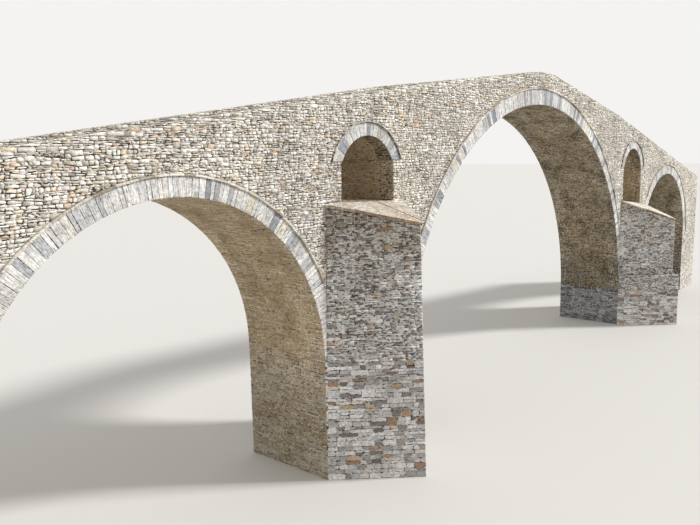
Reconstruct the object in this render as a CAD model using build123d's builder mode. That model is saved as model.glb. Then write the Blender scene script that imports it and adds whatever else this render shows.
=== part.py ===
"""Humpbacked stone arch bridge at half its real size.

Three barrel arches of unlike span stand on two piers with pointed cutwaters.
The roadway climbs over the tall main arch, and a small relief arch pierces
the masonry above each pier from face to face.

X runs along the roadway, Y points away from the front face, Z is up.
The origin is the middle of the bridge at the foot of its piers.
"""

import os
from dataclasses import dataclass
from itertools import pairwise
from math import atan2, ceil, cos, sin, sqrt

from build123d import *

# Lengths along the roadway, from left to right
left_abutment_length = 2355
left_arch_span = 5280
left_pier_width = 2120
main_arch_span = 10490
right_pier_width = 1945
right_arch_span = 4280
right_abutment_length = 1530

# Width of the bridge and the masonry skins that make it up
bridge_width = 1750
wall_thickness = 300
end_wall_thickness = 300

# Arches: height of the springing above the foot, rise of the soffit, depth of the ring
left_springing_height = 1955
left_arch_rise = 2680
left_ring_depth = 260
main_springing_height = 1000
main_arch_rise = 5085
main_ring_depth = 250
main_crown_depth = 345
right_springing_height = 2100
right_arch_rise = 2120
right_ring_depth = 275

# Curves are laid in flats, each about two voussoirs wide
arch_flat_width = 250
relief_flat_width = 110

# Slab course that hoods every ring on the faces
hood_thickness = 30
hood_projection = 30

# Relief openings: soffit arc, its rise over the jambs and the masonry left above its hood
relief_ring_depth = 210
relief_lining_thickness = 150
relief_jamb_setback = 28
left_relief_offset = 80
left_relief_radius = 700
left_relief_rise = 395
left_relief_cover = 313
right_relief_offset = -153
right_relief_radius = 735
right_relief_rise = 510
right_relief_cover = 257

# Cutwaters, on the front face only: how far the nose stands out, how far each side leans in up
# to the cap, the cap's height at the pier's left corner, and how much lower it is at the right
# corner and at the nose
left_cutwater_projection = 1150
left_cutwater_batter = 85
left_cap_height = 4390
left_cap_side_fall = 85
left_cap_nose_fall = 340
right_cutwater_projection = 1200
right_cutwater_batter = 0
right_cap_height = 3615
right_cap_side_fall = 215
right_cap_nose_fall = 545
cap_thickness = 50
cap_overhang = 25
right_plinth_height = 1460
right_plinth_projection = 115

# Roadway: masonry over the back of each ring up to the kerb's top edge,
# and the bends in that edge, from the main crown
left_cover = 630
crown_cover = 360
right_cover = 390
left_bend_distance = 3800
left_bend_drop = 390
right_bend_distance = 4850
right_bend_drop = 825
crown_half_length = 425
crown_offset = 125
crown_swell = 15
kerb_height = 120
kerb_width = 150
paving_thickness = 60

# Stations along X worked out from the lengths
bridge_length = (
    left_abutment_length
    + left_arch_span
    + left_pier_width
    + main_arch_span
    + right_pier_width
    + right_arch_span
    + right_abutment_length
)
left_end = -bridge_length / 2
right_end = bridge_length / 2
left_arch_start = left_end + left_abutment_length
left_pier_start = left_arch_start + left_arch_span
left_pier_end = left_pier_start + left_pier_width
right_pier_start = left_pier_end + main_arch_span
right_pier_end = right_pier_start + right_pier_width
right_arch_end = right_end - right_abutment_length
half_width = bridge_width / 2
core_half_width = half_width - wall_thickness
main_centre = (left_pier_end + right_pier_start) / 2
tall = 2 * (main_springing_height + main_arch_rise + main_crown_depth + crown_cover)


@dataclass(frozen=True)
class Arch:
    """A barrel arch: its soffit follows half an ellipse, its back two arcs that meet at the crown."""

    name: str
    start: float
    end: float
    springing: float
    rise: float
    ring: float
    crown_ring: float

    @property
    def centre(self) -> float:
        """Station of the crown."""
        return (self.start + self.end) / 2

    @property
    def half_span(self) -> float:
        """Half the clear span."""
        return (self.end - self.start) / 2

    @property
    def top(self) -> float:
        """Height of the ring's back at the crown."""
        return self.springing + self.rise + self.crown_ring


@dataclass(frozen=True)
class Pier:
    """A pier with the cutwater that stands against its front face."""

    name: str
    start: float
    end: float
    top: float
    projection: float
    batter: float
    cap_height: float
    side_fall: float
    nose_fall: float
    plinth_height: float
    plinth_projection: float

    @property
    def centre(self) -> float:
        """Station of the nose."""
        return (self.start + self.end) / 2

    @property
    def width(self) -> float:
        """Length along the bridge."""
        return self.end - self.start

    def cap_line(self, x: float) -> float:
        """Height of the cap's top where it meets the bridge face at station x."""
        return self.cap_height - self.side_fall * (x - self.start) / (self.end - self.start)


@dataclass(frozen=True)
class Relief:
    """A relief opening over a pier: plain jambs below, a segmental vault above."""

    name: str
    pier: Pier
    offset: float
    radius: float
    rise: float
    cover: float

    @property
    def centre(self) -> float:
        """Station of the opening's middle."""
        return self.pier.centre + self.offset

    @property
    def crown(self) -> float:
        """Height of the soffit at its crown, under the ring, the hood and the cover."""
        return wall_top(self.centre) - self.cover - hood_thickness - relief_ring_depth

    @property
    def springing(self) -> float:
        """Height at which the vault starts from the jambs."""
        return self.crown - self.rise

    @property
    def arc_height(self) -> float:
        """Height of the soffit arc's centre."""
        return self.crown - self.radius

    @property
    def jamb_half_width(self) -> float:
        """Half the clear width between the jambs."""
        return self.arc_half_width(0) + relief_jamb_setback

    def arc_half_width(self, depth: float) -> float:
        """Half the width, on the springing line, of the arc that lies depth outside the soffit."""
        return sqrt((self.radius + depth) ** 2 - (self.radius - self.rise) ** 2)


left_arch = Arch(
    "left", left_arch_start, left_pier_start, left_springing_height, left_arch_rise,
    left_ring_depth, left_ring_depth,
)
main_arch = Arch(
    "main", left_pier_end, right_pier_start, main_springing_height, main_arch_rise,
    main_ring_depth, main_crown_depth,
)
right_arch = Arch(
    "right", right_pier_end, right_arch_end, right_springing_height, right_arch_rise,
    right_ring_depth, right_ring_depth,
)
arches = (left_arch, main_arch, right_arch)

left_pier = Pier(
    "left", left_pier_start, left_pier_end, left_springing_height,
    left_cutwater_projection, left_cutwater_batter,
    left_cap_height, left_cap_side_fall, left_cap_nose_fall, 0, 0,
)
right_pier = Pier(
    "right", right_pier_start, right_pier_end, right_springing_height,
    right_cutwater_projection, right_cutwater_batter,
    right_cap_height, right_cap_side_fall, right_cap_nose_fall,
    right_plinth_height, right_plinth_projection,
)
piers = (left_pier, right_pier)

left_relief = Relief(
    "left", left_pier, left_relief_offset, left_relief_radius, left_relief_rise, left_relief_cover
)
right_relief = Relief(
    "right", right_pier, right_relief_offset, right_relief_radius,
    right_relief_rise, right_relief_cover,
)
reliefs = (left_relief, right_relief)


def on_line(first: tuple[float, float], second: tuple[float, float], x: float) -> float:
    """Height, at station x, of the straight line through two points."""
    (x1, z1), (x2, z2) = first, second
    return z1 + (x - x1) * (z2 - z1) / (x2 - x1)


# The kerb's top edge: a straight grade over each side arch, and another up to the crown
crown_edge = main_arch.top + crown_cover
left_bend = (main_centre - left_bend_distance, crown_edge - left_bend_drop)
right_bend = (main_centre + right_bend_distance, crown_edge - right_bend_drop)
over_left_arch = (left_arch.centre, left_arch.top + left_cover)
over_right_arch = (right_arch.centre, right_arch.top + right_cover)
crown_start = main_centre + crown_offset - crown_half_length
crown_end = main_centre + crown_offset + crown_half_length
edge_points = (
    (left_end, on_line(over_left_arch, left_bend, left_end)),
    left_bend,
    (crown_start, crown_edge),
    (crown_end, crown_edge),
    right_bend,
    (right_end, on_line(right_bend, over_right_arch, right_end)),
)


def wall_top(x: float) -> float:
    """Height of the spandrel walls at station x, under the kerb."""
    for first, second in pairwise(edge_points):
        if x <= second[0]:
            return on_line(first, second, x) - kerb_height
    return edge_points[-1][1] - kerb_height


def in_flats(curve: Edge, width: float) -> list[Vector]:
    """Points along a curve, from one end to the other, at most about the given width apart."""
    count = ceil(curve.length / width)
    return [curve @ (step / count) for step in range(count + 1)]


def upright(start: float, end: float, bottom: float, top: float) -> Sketch:
    """A rectangle in elevation."""
    with BuildSketch() as outline:
        with Locations((start, bottom)):
            Rectangle(end - start, top - bottom, align=(Align.MIN, Align.MIN))
    return outline.sketch


def soffit(arch: Arch) -> Sketch:
    """The clear opening of an arch above its springing line."""
    with BuildSketch() as outline:
        with BuildLine():
            curve = EllipticalCenterArc(
                (arch.centre, arch.springing), arch.half_span, arch.rise, 0,
                arc_size=180, mode=Mode.PRIVATE,
            )
            Polyline(*in_flats(curve, arch_flat_width), close=True)
        make_face()
    return outline.sketch


def arch_back(arch: Arch, extra: float = 0) -> Sketch:
    """Everything inside the back of an arch ring, or inside a course of depth extra laid on it."""
    depth = arch.ring + extra
    foot = arch.half_span + depth
    crown = arch.rise + arch.crown_ring + extra
    slope = atan2(arch.half_span, arch.rise)
    haunch_x = arch.half_span / sqrt(2) + depth * cos(slope)
    haunch_z = arch.springing + arch.rise / sqrt(2) + depth * sin(slope)
    top = (arch.centre, arch.springing + crown)
    with BuildSketch() as outline:
        with BuildLine():
            right = ThreePointArc(
                (arch.centre + foot, arch.springing), (arch.centre + haunch_x, haunch_z), top,
                mode=Mode.PRIVATE,
            )
            left = ThreePointArc(
                top, (arch.centre - haunch_x, haunch_z), (arch.centre - foot, arch.springing),
                mode=Mode.PRIVATE,
            )
            Polyline(
                *in_flats(right, arch_flat_width), *in_flats(left, arch_flat_width)[1:], close=True
            )
        make_face()
    return outline.sketch


def hood(arch: Arch, front: bool) -> Sketch:
    """The hood course of an arch: it stops at the cutwaters in front, and at the piers' tops behind."""
    with BuildSketch() as outline:
        add(arch_back(arch, hood_thickness))
        add(arch_back(arch), mode=Mode.SUBTRACT)
        for pier in piers:
            stop = pier.cap_line(pier.centre) if front else pier.top
            add(upright(pier.start, pier.end, 0, stop), mode=Mode.SUBTRACT)
    return outline.sketch


def relief_arc(relief: Relief, depth: float = 0) -> Sketch:
    """The segment above the springing line, inside an arc that lies depth outside the soffit."""
    half = relief.arc_half_width(depth)
    top = relief.arc_height + relief.radius + depth
    with BuildSketch() as outline:
        with BuildLine():
            curve = ThreePointArc(
                (relief.centre - half, relief.springing),
                (relief.centre, top),
                (relief.centre + half, relief.springing),
                mode=Mode.PRIVATE,
            )
            Polyline(*in_flats(curve, relief_flat_width), close=True)
        make_face()
    return outline.sketch


def relief_jambs(relief: Relief, depth: float = 0) -> Sketch:
    """The part of a relief opening below its springing, grown by depth at the sides and sill."""
    half = relief.jamb_half_width + depth
    start = relief.centre - half
    end = relief.centre + half
    with BuildSketch() as outline:
        with BuildLine():
            Polyline(
                (start, relief.pier.cap_line(start) - depth),
                (end, relief.pier.cap_line(end) - depth),
                (end, relief.springing),
                (start, relief.springing),
                close=True,
            )
        make_face()
    return outline.sketch


def below_deck(drop: float) -> Sketch:
    """Everything below the line that runs drop under the top edge of the kerbs."""
    lowered = [(x, z - drop) for x, z in edge_points]
    with BuildSketch() as outline:
        with BuildLine():
            Polyline((left_end, 0), *lowered[:3])
            ThreePointArc(
                lowered[2],
                (main_centre + crown_offset, crown_edge + crown_swell - drop),
                lowered[3],
            )
            Polyline(*lowered[3:], (right_end, 0), (left_end, 0))
        make_face()
    return outline.sketch


def abutment_profile(start: float, end: float, springing: float) -> Sketch:
    """An abutment up to the springing, with the end wall that closes the filling behind it."""
    wall_start = start if start == left_end else end - end_wall_thickness
    with BuildSketch() as outline:
        add(upright(start, end, 0, springing))
        add(upright(wall_start, wall_start + end_wall_thickness, 0, tall))
        add(below_deck(kerb_height), mode=Mode.INTERSECT)
    return outline.sketch


def pier_profile(pier: Pier) -> Sketch:
    """A pier, cut back to the main ring where that rises beside it."""
    with BuildSketch() as outline:
        add(upright(pier.start, pier.end, 0, pier.top))
        add(arch_back(main_arch), mode=Mode.SUBTRACT)
    return outline.sketch


left_abutment_profile = abutment_profile(left_end, left_arch_start, left_springing_height)
right_abutment_profile = abutment_profile(right_arch_end, right_end, right_springing_height)


def masonry_above_arches() -> Sketch:
    """Elevation of the masonry between the arch backs, the piers and the roadway."""
    with BuildSketch() as outline:
        add(below_deck(kerb_height))
        add(left_abutment_profile, mode=Mode.SUBTRACT)
        add(right_abutment_profile, mode=Mode.SUBTRACT)
        for pier in piers:
            add(upright(pier.start, pier.end, 0, pier.top), mode=Mode.SUBTRACT)
        for arch in arches:
            add(upright(arch.start, arch.end, 0, arch.springing), mode=Mode.SUBTRACT)
            add(arch_back(arch), mode=Mode.SUBTRACT)
    return outline.sketch


def wall_profile(start: float, end: float, front: bool) -> Sketch:
    """A stretch of spandrel wall, with its hood courses and relief openings cut out."""
    with BuildSketch() as outline:
        add(masonry_above_arches())
        for arch in arches:
            add(hood(arch, front), mode=Mode.SUBTRACT)
        for relief in reliefs:
            add(relief_arc(relief, relief_ring_depth + hood_thickness), mode=Mode.SUBTRACT)
            add(relief_jambs(relief), mode=Mode.SUBTRACT)
        add(upright(start, end, 0, tall), mode=Mode.INTERSECT)
    return outline.sketch


os.makedirs("parts", exist_ok=True)


# The noses reach further out in front than the hoods do behind. The finished pieces move back
# by half the difference, so that the origin lies in the middle of the whole.
front_reach = half_width + max(
    pier.projection + pier.plinth_projection * sqrt(1 + (2 * pier.projection / pier.width) ** 2)
    for pier in piers
)
set_back = (front_reach - half_width - hood_projection) / 2


def save(part: Part, name: str) -> None:
    """Move a finished piece into place, label it and write it to its own file."""
    placed = part.moved(Location((0, set_back, 0)))
    placed.label = name
    export_step(placed, f"parts/{name}.step")


def save_behind(part: Part, name: str) -> None:
    """Write a piece that was drawn on the front face as its mirror image on the back face."""
    with BuildPart() as back:
        mirror(part, about=Plane.XZ)
    save(back.part, f"{name}_back")


def save_face_pair(part: Part, name: str) -> None:
    """Write a piece of the front face, and its mirror image on the back face."""
    save(part, f"{name}_front")
    save_behind(part, name)


def cap_plane(pier: Pier, lift: float) -> Plane:
    """The sloping plane through a cap's three top corners, raised by lift."""
    top = pier.cap_height + lift
    left_corner = Vector(pier.start, -half_width, top)
    right_corner = Vector(pier.end, -half_width, top - pier.side_fall)
    nose = Vector(pier.centre, -half_width - pier.projection, top - pier.nose_fall)
    normal = (nose - left_corner).cross(right_corner - left_corner)
    return Plane(origin=left_corner, z_dir=normal)


def flank(pier: Pier, corner: float, inward: int, overhang: float) -> Plane:
    """The plane of one side of a cutwater, from its foot at a pier's corner, moved out by overhang."""
    foot = Vector(corner, -half_width, 0)
    nose = Vector(pier.centre, -half_width - pier.projection, 0)
    head = Vector(corner + inward * pier.batter, -half_width, pier.cap_height)
    outwards = ((nose - foot).cross(head - foot) * inward).normalized()
    return Plane(origin=foot + outwards * overhang, z_dir=outwards)


def cutwater_prism(pier: Pier, overhang: float) -> Part:
    """A tall three-cornered shaft against the front face, with its flanks moved out by overhang."""
    with BuildPart() as prism:
        with Locations((pier.centre, -half_width, 0)):
            Box(
                2 * pier.width, 2 * pier.projection, tall,
                align=(Align.CENTER, Align.MAX, Align.MIN),
            )
        split(bisect_by=flank(pier, pier.start, 1, overhang), keep=Keep.BOTTOM)
        split(bisect_by=flank(pier, pier.end, -1, overhang), keep=Keep.BOTTOM)
    return prism.part


def plinth(pier: Pier) -> Part:
    """The wider foot of a cutwater, which keeps to the width of its pier."""
    with BuildPart() as foot:
        add(cutwater_prism(pier, pier.plinth_projection))
        with BuildSketch():
            with Locations((pier.centre, -half_width)):
                Rectangle(pier.end - pier.start, tall, align=(Align.CENTER, Align.MAX))
        extrude(amount=pier.plinth_height, mode=Mode.INTERSECT)
    return foot.part


# Abutments
for name, profile in (("left", left_abutment_profile), ("right", right_abutment_profile)):
    with BuildPart() as abutment:
        with BuildSketch(Plane.XZ):
            add(profile)
        extrude(amount=half_width, both=True)
    save(abutment.part, f"{name}_abutment")

# Piers, with the cutwaters in front of them and the sloping caps on these
for pier in piers:
    with BuildPart() as pier_shaft:
        with BuildSketch(Plane.XZ):
            add(pier_profile(pier))
        extrude(amount=half_width, both=True)
    save(pier_shaft.part, f"{pier.name}_pier")

    with BuildPart() as cutwater:
        if pier.plinth_height:
            add(plinth(pier))
        add(cutwater_prism(pier, 0))
        split(bisect_by=cap_plane(pier, -cap_thickness), keep=Keep.BOTTOM)
    save(cutwater.part, f"{pier.name}_cutwater")

    with BuildPart() as cap:
        add(cutwater_prism(pier, cap_overhang))
        split(bisect_by=cap_plane(pier, -cap_thickness), keep=Keep.TOP)
        split(bisect_by=cap_plane(pier, 0), keep=Keep.BOTTOM)
    save(cap.part, f"{pier.name}_cutwater_cap")

# Arch barrels, the dressed rings at their faces and the hood courses on the rings
for arch in arches:
    with BuildPart() as barrel:
        with BuildSketch(Plane.XZ):
            add(arch_back(arch))
            add(soffit(arch), mode=Mode.SUBTRACT)
        extrude(amount=core_half_width, both=True)
    save(barrel.part, f"{arch.name}_arch_barrel")

    with BuildPart() as ring:
        with BuildSketch(Plane.XZ.offset(core_half_width)):
            add(arch_back(arch))
            add(soffit(arch), mode=Mode.SUBTRACT)
        extrude(amount=wall_thickness)
    save_face_pair(ring.part, f"{arch.name}_arch_ring")

    for front in (True, False):
        with BuildPart() as hood_course:
            with BuildSketch(Plane.XZ.offset(core_half_width)):
                add(hood(arch, front))
            extrude(amount=wall_thickness + hood_projection)
        if front:
            save(hood_course.part, f"{arch.name}_arch_hood_front")
        else:
            save_behind(hood_course.part, f"{arch.name}_arch_hood")

# Relief openings: the lining between the walls, and the ring on each face with its hood
for relief in reliefs:
    with BuildPart() as lining:
        with BuildSketch(Plane.XZ):
            add(relief_arc(relief, relief_ring_depth))
            add(relief_jambs(relief, relief_lining_thickness))
            add(relief_arc(relief), mode=Mode.SUBTRACT)
            add(relief_jambs(relief), mode=Mode.SUBTRACT)
        extrude(amount=core_half_width, both=True)
    save(lining.part, f"{relief.name}_relief_vault")

    with BuildPart() as relief_ring:
        with BuildSketch(Plane.XZ.offset(core_half_width)):
            add(relief_arc(relief, relief_ring_depth + hood_thickness))
            add(relief_arc(relief), mode=Mode.SUBTRACT)
        extrude(amount=wall_thickness)
        with BuildSketch(Plane.XZ.offset(half_width)):
            add(relief_arc(relief, relief_ring_depth + hood_thickness))
            add(relief_arc(relief, relief_ring_depth), mode=Mode.SUBTRACT)
        extrude(amount=hood_projection)
    save_face_pair(relief_ring.part, f"{relief.name}_relief_ring")

# Spandrel walls: over each side arch, and from its pier up to the crown of the main arch
for name, start, end in (
    ("left_arch_wall", left_end, left_pier.start),
    ("left_spandrel_wall", left_pier.start, main_centre),
    ("right_spandrel_wall", main_centre, right_pier.end),
    ("right_arch_wall", right_pier.end, right_end),
):
    for front in (True, False):
        with BuildPart() as wall:
            with BuildSketch(Plane.XZ.offset(core_half_width)):
                add(wall_profile(start, end, front))
            extrude(amount=wall_thickness)
        if front:
            save(wall.part, f"{name}_front")
        else:
            save_behind(wall.part, name)

# Rubble filling between the walls, under the roadway
with BuildPart() as core:
    with BuildSketch(Plane.XZ):
        add(masonry_above_arches())
        for relief in reliefs:
            add(relief_arc(relief, relief_ring_depth), mode=Mode.SUBTRACT)
            add(relief_jambs(relief, relief_lining_thickness), mode=Mode.SUBTRACT)
    extrude(amount=core_half_width, both=True)
save(core.part, "rubble_core")

# Paved roadway between the kerbs
with BuildPart() as paving:
    with BuildSketch(Plane.XZ):
        add(below_deck(kerb_height - paving_thickness))
        add(below_deck(kerb_height), mode=Mode.SUBTRACT)
    extrude(amount=half_width - kerb_width, both=True)
save(paving.part, "road_paving")

# Kerbs on the outer edges
with BuildPart() as kerb:
    with BuildSketch(Plane.XZ.offset(half_width - kerb_width)):
        add(below_deck(0))
        add(below_deck(kerb_height), mode=Mode.SUBTRACT)
    extrude(amount=kerb_width)
save_face_pair(kerb.part, "kerb")
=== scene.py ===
"""Dresses the humpbacked stone arch bridge, a scale model at 1:2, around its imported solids.

Every solid that shows is replaced by a bed of lime mortar, whose open faces stand back a
little, and stones are laid on those faces one by one: random rubble on the walls and
kerbs, coursed rubble on the cutwaters, dressed voussoirs on the rings, long thin stones
under the left vault, rougher ones under the others, and cobbles on the road. The hoods
and caps are cut into slabs. Lengths are in millimetres where a name ends in _mm, and in
metres elsewhere. X runs along the roadway, Y away from the front face and Z up.
"""

import sys

import logging
import math
from bisect import bisect_right
from collections.abc import Iterable, Sequence
from dataclasses import dataclass, field
from enum import Enum
from functools import cache
from itertools import pairwise
from random import Random

import bmesh
import bpy
import numpy as np
from bmesh.types import BMesh, BMFace, BMLayerItem, BMVert
from mathutils import Matrix, Vector
from mathutils.bvhtree import BVHTree

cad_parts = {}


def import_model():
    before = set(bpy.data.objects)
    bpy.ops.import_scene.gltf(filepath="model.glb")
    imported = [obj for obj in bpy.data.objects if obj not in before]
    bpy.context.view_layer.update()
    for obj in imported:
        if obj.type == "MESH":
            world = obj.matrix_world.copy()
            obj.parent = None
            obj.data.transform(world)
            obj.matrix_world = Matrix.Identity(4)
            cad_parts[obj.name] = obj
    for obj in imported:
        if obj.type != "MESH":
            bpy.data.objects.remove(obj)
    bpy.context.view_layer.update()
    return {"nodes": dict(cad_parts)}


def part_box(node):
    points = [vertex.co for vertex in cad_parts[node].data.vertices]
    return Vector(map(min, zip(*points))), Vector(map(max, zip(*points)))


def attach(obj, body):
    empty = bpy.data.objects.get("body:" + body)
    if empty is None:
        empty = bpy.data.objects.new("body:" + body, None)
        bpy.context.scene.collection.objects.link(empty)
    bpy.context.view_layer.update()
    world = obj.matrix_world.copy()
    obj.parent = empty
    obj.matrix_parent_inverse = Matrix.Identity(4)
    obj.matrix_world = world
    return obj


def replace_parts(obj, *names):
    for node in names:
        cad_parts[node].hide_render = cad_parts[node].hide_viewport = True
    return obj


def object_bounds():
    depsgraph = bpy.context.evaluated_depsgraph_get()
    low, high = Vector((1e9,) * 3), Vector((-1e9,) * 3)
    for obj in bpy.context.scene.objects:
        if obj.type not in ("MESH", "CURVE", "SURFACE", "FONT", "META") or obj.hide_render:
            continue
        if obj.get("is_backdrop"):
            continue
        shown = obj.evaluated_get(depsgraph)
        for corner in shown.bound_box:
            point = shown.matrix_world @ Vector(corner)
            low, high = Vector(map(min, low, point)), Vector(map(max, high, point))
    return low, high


log = logging.getLogger("bridge")
MM = 0.001
ACROSS = Vector((0.0, 1.0, 0.0))

Tree = bpy.types.NodeTree
Socket = bpy.types.NodeSocket
Value = float | tuple[float, ...] | Socket
Pair = tuple[float, float]
Plane = tuple[float, ...]
Cut = tuple[Vector, Vector]

# A face looks into an arch when its normal has no more than this across the bridge
INTO_ARCH = 0.3
# Planes further than this from the middle close the ends of the bridge
ROAD_END = 13.9
# Planes whose normals and distances differ by less than this are one plane
SAME_PLANE = 0.006
# A face is covered when a solid holds a point this far in front of it, tried along a slanted line
PROBE = 3 * MM
SLANT = Vector((0.31, 0.23, 0.92)).normalized()
# The line starts again this far behind each face that it meets
PAST_FACE = 1e-4
# How far towards a small face's middle its corners are tried
TOWARDS_MIDDLE = 0.15
# A corner this near to a cutting plane lies on it
ON_PLANE = 1e-6


class Outlook(Enum):
    """Which open faces of a node are dressed."""

    ALL = "every open face"
    OUTWARDS = "faces that look out of the bridge, and its ends"
    INWARDS = "faces that look into an arch or a relief opening"

    def takes(self, plane: Plane) -> bool:
        """Tells whether a plane, given by its normal and its distance from the origin, is dressed."""
        inwards = abs(plane[1]) <= INTO_ARCH and abs(plane[3]) < ROAD_END
        return self is Outlook.ALL or inwards == (self is Outlook.INWARDS)


# Colours and shader nodes


def linear(colour: str) -> tuple[float, float, float, float]:
    """Turns an sRGB hex colour into linear light.

    Args:
        colour: The colour, such as "#bfbbb3".

    Returns:
        Red, green, blue and an alpha of 1.
    """
    parts = [int(colour[i : i + 2], 16) / 255 for i in (1, 3, 5)]
    light = [c / 12.92 if c <= 0.04045 else ((c + 0.055) / 1.055) ** 2.4 for c in parts]
    return (light[0], light[1], light[2], 1.0)


def add_node(
    tree: Tree, kind: str, inputs: dict[str | int, Value] | None = None, **settings: object
) -> bpy.types.Node:
    """Adds a shader node with its settings and links.

    Args:
        tree: The node tree of a material.
        kind: The node's type after "ShaderNode", such as "Mix".
        inputs: Values and incoming links by the name or number of the input.
        settings: Properties of the node.

    Returns:
        The new node.
    """
    node = tree.nodes.new("ShaderNode" + kind)
    for name, value in settings.items():
        setattr(node, name, value)
    for key, value in (inputs or {}).items():
        if isinstance(value, Socket):
            tree.links.new(value, node.inputs[key])
        else:
            node.inputs[key].default_value = value
    return node


def stretched(value: Socket, span: Pair, to: Pair) -> dict[str, Value]:
    """Gives the inputs that stretch a span of a value, and hold it beyond both ends."""
    return dict(zip(("Value", "From Min", "From Max", "To Min", "To Max"), (value, *span, *to)))


def shade(tree: Tree, colour: Value, layer: Socket, span: Pair, levels: Pair) -> Socket:
    """Makes a colour darker and lighter by a layer of noise.

    Args:
        tree: The material's node tree.
        colour: The colour.
        layer: The noise.
        span: The noise's values where the change starts and stops.
        levels: How bright the colour is at both.

    Returns:
        The shaded colour.
    """
    level = add_node(tree, "MapRange", stretched(layer, span, levels), interpolation_type="SMOOTHSTEP")
    inputs = {0: 1.0, 6: colour, 7: level.outputs[0]}
    return add_node(tree, "Mix", inputs, data_type="RGBA", blend_type="MULTIPLY").outputs[2]


def coat(
    tree: Tree,
    colour: Value,
    second: Value,
    layer: Socket,
    span: Pair,
    shares: Pair = (0, 1),
    mode: str = "MIX",
) -> Socket:
    """Lays a second colour over a colour, by a layer of noise.

    Args:
        tree: The material's node tree.
        colour: The first colour.
        second: The second colour.
        layer: The noise.
        span: The noise's values where the change starts and stops.
        shares: How much of the second colour there is at both.
        mode: How they mix, such as "MULTIPLY".

    Returns:
        The mixed colour.
    """
    share = add_node(tree, "MapRange", stretched(layer, span, shares), interpolation_type="SMOOTHSTEP")
    inputs = {0: share.outputs[0], 6: colour, 7: second}
    return add_node(tree, "Mix", inputs, data_type="RGBA", blend_type=mode).outputs[2]


@dataclass(frozen=True)
class Grain:
    """A layer of noise: the size of its patches, and how much they are squeezed along each axis."""

    size_mm: float
    detail: float
    squeeze: tuple[float, float, float] = (1.0, 1.0, 1.0)
    shift: tuple[float, float, float] = (0.0, 0.0, 0.0)
    roughness: float = 0.6

    def add(self, tree: Tree, coordinates: Socket) -> Socket:
        """Adds the noise to a material.

        Args:
            tree: The material's node tree.
            coordinates: Object coordinates, or those along and across a stone's bedding.

        Returns:
            The noise, around 0.5.
        """
        inputs = {"Vector": coordinates, "Location": self.shift, "Scale": self.squeeze}
        place = add_node(tree, "Mapping", inputs).outputs[0]
        scale = 1 / (self.size_mm * MM)
        inputs = {"Vector": place, "Scale": scale, "Detail": self.detail, "Roughness": self.roughness}
        return add_node(tree, "TexNoise", inputs).outputs["Fac"]


# Lime washes out of a joint in patches as wide as a few stones, which are painted dark as the shadow in the
# gaps, and its sand is a few millimetres across
WASHED_OUT_SHADE_PATCHES = Grain(60.0, 5.0, (1.0, 1.0, 1.8), (3.1, 3.1, 3.1))
SAND = Grain(9.0, 3.0, shift=(7.7, 7.7, 7.7))
# Limestone is mottled and speckled, and the weather stains a wall in patches that cover many stones
MOTTLE = Grain(35.0, 6.0, (1.0, 1.0, 1.3), (1.3, 1.3, 1.3))
SPECKS = Grain(6.0, 3.0, shift=(5.9, 5.9, 5.9))
WEATHER = Grain(420.0, 6.0, (1.0, 1.0, 0.8), (9.2, 9.2, 9.2))
PATINA = Grain(1500.0, 4.0, (1.0, 1.0, 0.6), (4.4, 4.4, 4.4))


@dataclass(frozen=True, kw_only=True)
class Finish:
    """A material whose colour and relief come from layers of noise."""

    name: str
    roughness: float
    bump_mm: float
    bump_strength: float
    ior: float = 1.5

    def layers(self, tree: Tree, place: Socket) -> tuple[Socket, Socket]:
        """Adds the colour and the height of the surface, from object coordinates."""
        raise NotImplementedError

    @cache
    def material(self) -> bpy.types.Material:
        """Builds the material, once for all the pieces that share it.

        Returns:
            The material.
        """
        made = bpy.data.materials.new(self.name)
        made.use_nodes = True
        tree = made.node_tree
        shader = tree.nodes["Principled BSDF"]
        colour, height = self.layers(tree, add_node(tree, "TexCoord").outputs["Object"])
        inputs = {"Height": height, "Strength": self.bump_strength, "Distance": self.bump_mm * MM}
        tree.links.new(colour, shader.inputs["Base Color"])
        tree.links.new(add_node(tree, "Bump", inputs).outputs[0], shader.inputs["Normal"])
        shader.inputs["Roughness"].default_value = self.roughness
        shader.inputs["IOR"].default_value = self.ior
        return made


@dataclass(frozen=True, kw_only=True)
class Mortar(Finish):
    """Lime mortar, struck rough: pale where it is full, and painted dark as the shadow in the deep gaps where
    it has washed out.
    """

    pale: str
    gap_shadow: str
    washed_out_shade: float
    roughness: float = 0.95
    bump_mm: float = 3.0
    bump_strength: float = 0.6

    def colour(self, tree: Tree, place: Socket) -> Socket:
        """Adds the mortar's colour to a material, from object coordinates, with painted shadow in the
        washed-out gaps.
        """
        span = (self.washed_out_shade - 0.05, self.washed_out_shade + 0.05)
        # Painted shadow: the mortar is dark where the patches say it has washed out
        return coat(tree, linear(self.gap_shadow), linear(self.pale), WASHED_OUT_SHADE_PATCHES.add(tree, place), span)

    def layers(self, tree: Tree, place: Socket) -> tuple[Socket, Socket]:
        """Adds the colour and the height of the mortar, from object coordinates."""
        sand = SAND.add(tree, place)
        return shade(tree, self.colour(tree, place), sand, span=(0.3, 0.7), levels=(0.75, 1.05)), sand


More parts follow.
